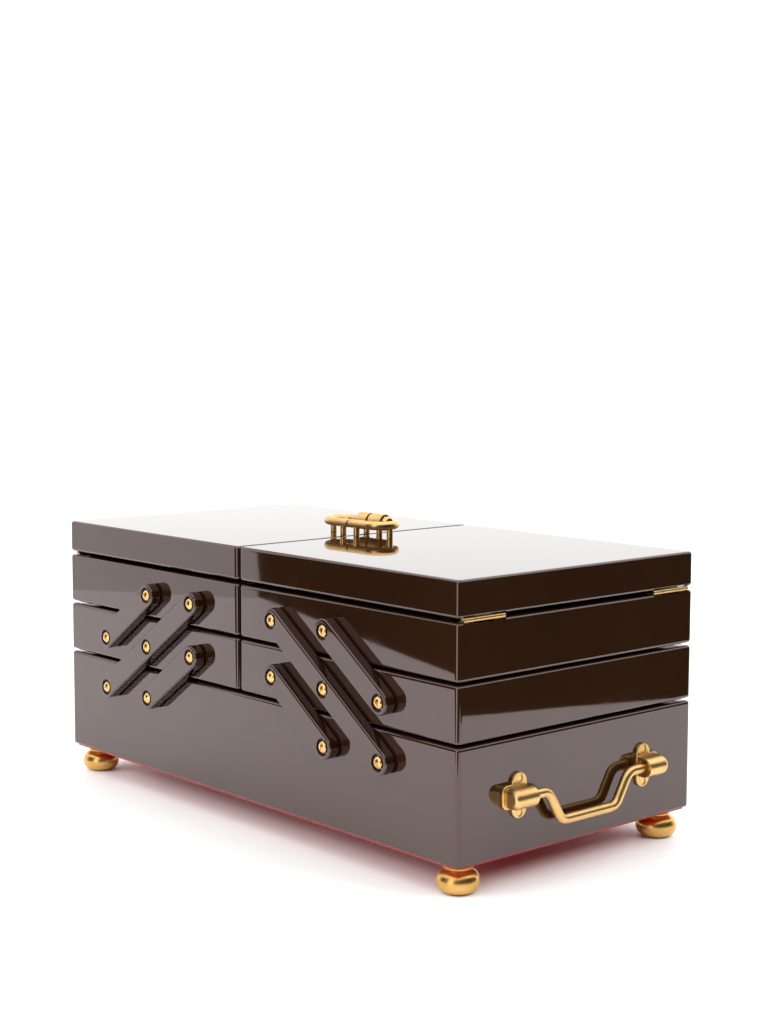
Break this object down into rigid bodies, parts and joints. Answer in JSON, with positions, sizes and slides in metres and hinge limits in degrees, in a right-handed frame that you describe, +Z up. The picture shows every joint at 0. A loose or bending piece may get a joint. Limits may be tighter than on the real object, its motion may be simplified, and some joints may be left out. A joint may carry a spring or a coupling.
{
  "type": "cantilever sewing box",
  "caption": "Lacquered box on bun feet whose left and right trays swing out on lever arms under hinged lids, with bail handles at the ends and a barrel-bolt clasp on top.",
  "frame": {"origin": "centre of the box on the surface that its four feet stand on", "axes": "+X along the box to its right end, -Y towards the front with the clasp's plain rail, +Z up"},
  "size_m": [0.426, 0.2186, 0.1933],
  "materials": {
    "brown_lacquer": "wooden walls under dark chocolate-brown lacquer, polished to a high gloss",
    "red_lacquer": "wooden panel under glossy red lacquer",
    "satin_brass": "cast and turned brass, satin brushed",
    "lining": "thin red felt glued to the insides"
  },
  "bodies": {
    "base": {"base_case": "brown_lacquer", "base_bottom_panel": "red_lacquer", "right_front_foot": "satin_brass", "right_front_handle_bracket": "satin_brass", "right_front_base_screws": "satin_brass", "right_rear_foot": "satin_brass", "right_rear_handle_bracket": "satin_brass", "right_rear_base_screws": "satin_brass", "left_front_foot": "satin_brass", "left_front_handle_bracket": "satin_brass", "left_front_base_screws": "satin_brass", "left_rear_foot": "satin_brass", "left_rear_handle_bracket": "satin_brass", "left_rear_base_screws": "satin_brass"},
    "right_long_arms": {"right_front_long_arm": "brown_lacquer", "right_rear_long_arm": "brown_lacquer"},
    "right_base_links": {"right_front_base_link": "brown_lacquer", "right_rear_base_link": "brown_lacquer"},
    "right_tray_links": {"right_front_tray_link": "brown_lacquer", "right_rear_tray_link": "brown_lacquer"},
    "right_lower_tray": {"right_lower_tray": "brown_lacquer", "right_lower_tray_bottom": "brown_lacquer", "right_front_lower_tray_screws": "satin_brass", "right_rear_lower_tray_screws": "satin_brass"},
    "right_upper_tray": {"right_upper_tray": "brown_lacquer", "right_upper_tray_bottom": "brown_lacquer", "right_front_upper_tray_screws": "satin_brass", "right_front_hinge_tray_leaf": "satin_brass", "right_rear_upper_tray_screws": "satin_brass", "right_rear_hinge_tray_leaf": "satin_brass"},
    "right_lid": {"right_lid": "brown_lacquer", "right_clasp_rail": "satin_brass", "right_front_hinge_lid_leaf": "satin_brass", "right_rear_hinge_lid_leaf": "satin_brass", "clasp_bolt_guide": "satin_brass"},
    "right_bail": {"right_bail_handle": "satin_brass"},
    "left_long_arms": {"left_front_long_arm": "brown_lacquer", "left_rear_long_arm": "brown_lacquer"},
    "left_base_links": {"left_front_base_link": "brown_lacquer", "left_rear_base_link": "brown_lacquer"},
    "left_tray_links": {"left_front_tray_link": "brown_lacquer", "left_rear_tray_link": "brown_lacquer"},
    "left_lower_tray": {"left_lower_tray": "brown_lacquer", "left_lower_tray_bottom": "brown_lacquer", "left_front_lower_tray_screws": "satin_brass", "left_rear_lower_tray_screws": "satin_brass"},
    "left_upper_tray": {"left_upper_tray": "brown_lacquer", "left_upper_tray_bottom": "brown_lacquer", "left_front_upper_tray_screws": "satin_brass", "left_front_hinge_tray_leaf": "satin_brass", "left_rear_upper_tray_screws": "satin_brass", "left_rear_hinge_tray_leaf": "satin_brass"},
    "left_lid": {"left_lid": "brown_lacquer", "left_clasp_rail": "satin_brass", "left_front_hinge_lid_leaf": "satin_brass", "left_rear_hinge_lid_leaf": "satin_brass", "clasp_keeper": "satin_brass"},
    "left_bail": {"left_bail_handle": "satin_brass"},
    "clasp_bolt": {"clasp_bolt": "satin_brass"}
  },
  "joints": [
    {"name": "right_fold", "type": "hinge", "parent": "base", "child": "right_long_arms", "pos_m": [0.1421, 0, 0.0693], "axis": [0, 1, 0], "range_deg": [0, 110]},
    {"name": "right_lower_tray_pivot", "type": "hinge", "parent": "right_long_arms", "child": "right_lower_tray", "pos_m": [0.0925, 0, 0.104], "axis": [0, 1, 0], "range_deg": [-110.5, 0.5]},
    {"name": "right_upper_tray_pivot", "type": "hinge", "parent": "right_long_arms", "child": "right_upper_tray", "pos_m": [0.0429, 0, 0.1387], "axis": [0, 1, 0], "range_deg": [-110.5, 0.5]},
    {"name": "right_base_link_pivot", "type": "hinge", "parent": "base", "child": "right_base_links", "pos_m": [0.0925, 0, 0.0693], "axis": [0, 1, 0], "range_deg": [-0.5, 110.5]},
    {"name": "right_tray_link_pivot", "type": "hinge", "parent": "right_lower_tray", "child": "right_tray_links", "pos_m": [0.1421, 0, 0.104], "axis": [0, 1, 0], "range_deg": [-0.5, 110.5]},
    {"name": "right_lid_hinge", "type": "hinge", "parent": "right_upper_tray", "child": "right_lid", "pos_m": [0.1984, 0, 0.1568], "axis": [0, 1, 0], "range_deg": [0, 105]},
    {"name": "right_bail_swing", "type": "hinge", "parent": "base", "child": "right_bail", "pos_m": [0.2062, 0, 0.053], "axis": [0, -1, 0], "range_deg": [-8, 90]},
    {"name": "left_fold", "type": "hinge", "parent": "base", "child": "left_long_arms", "pos_m": [-0.1421, 0, 0.0693], "axis": [0, -1, 0], "range_deg": [0, 110]},
    {"name": "left_lower_tray_pivot", "type": "hinge", "parent": "left_long_arms", "child": "left_lower_tray", "pos_m": [-0.0925, 0, 0.104], "axis": [0, -1, 0], "range_deg": [-110.5, 0.5]},
    {"name": "left_upper_tray_pivot", "type": "hinge", "parent": "left_long_arms", "child": "left_upper_tray", "pos_m": [-0.0429, 0, 0.1387], "axis": [0, -1, 0], "range_deg": [-110.5, 0.5]},
    {"name": "left_base_link_pivot", "type": "hinge", "parent": "base", "child": "left_base_links", "pos_m": [-0.0925, 0, 0.0693], "axis": [0, -1, 0], "range_deg": [-0.5, 110.5]},
    {"name": "left_tray_link_pivot", "type": "hinge", "parent": "left_lower_tray", "child": "left_tray_links", "pos_m": [-0.1421, 0, 0.104], "axis": [0, -1, 0], "range_deg": [-0.5, 110.5]},
    {"name": "left_lid_hinge", "type": "hinge", "parent": "left_upper_tray", "child": "left_lid", "pos_m": [-0.1984, 0, 0.1568], "axis": [0, -1, 0], "range_deg": [0, 105]},
    {"name": "left_bail_swing", "type": "hinge", "parent": "base", "child": "left_bail", "pos_m": [-0.2062, 0, 0.053], "axis": [0, 1, 0], "range_deg": [-8, 90]},
    {"name": "clasp_bolt_slide", "type": "slide", "parent": "right_lid", "child": "clasp_bolt", "axis": [1, 0, 0], "range_m": [-0.0062, 0]}
  ],
  "couplings": [
    {"joint": "right_lower_tray_pivot", "follows": "right_fold", "ratio": -1},
    {"joint": "right_upper_tray_pivot", "follows": "right_fold", "ratio": -1},
    {"joint": "right_base_link_pivot", "follows": "right_fold", "ratio": 1},
    {"joint": "right_tray_link_pivot", "follows": "right_fold", "ratio": 1},
    {"joint": "left_lower_tray_pivot", "follows": "left_fold", "ratio": -1},
    {"joint": "left_upper_tray_pivot", "follows": "left_fold", "ratio": -1},
    {"joint": "left_base_link_pivot", "follows": "left_fold", "ratio": 1},
    {"joint": "left_tray_link_pivot", "follows": "left_fold", "ratio": 1}
  ]
}
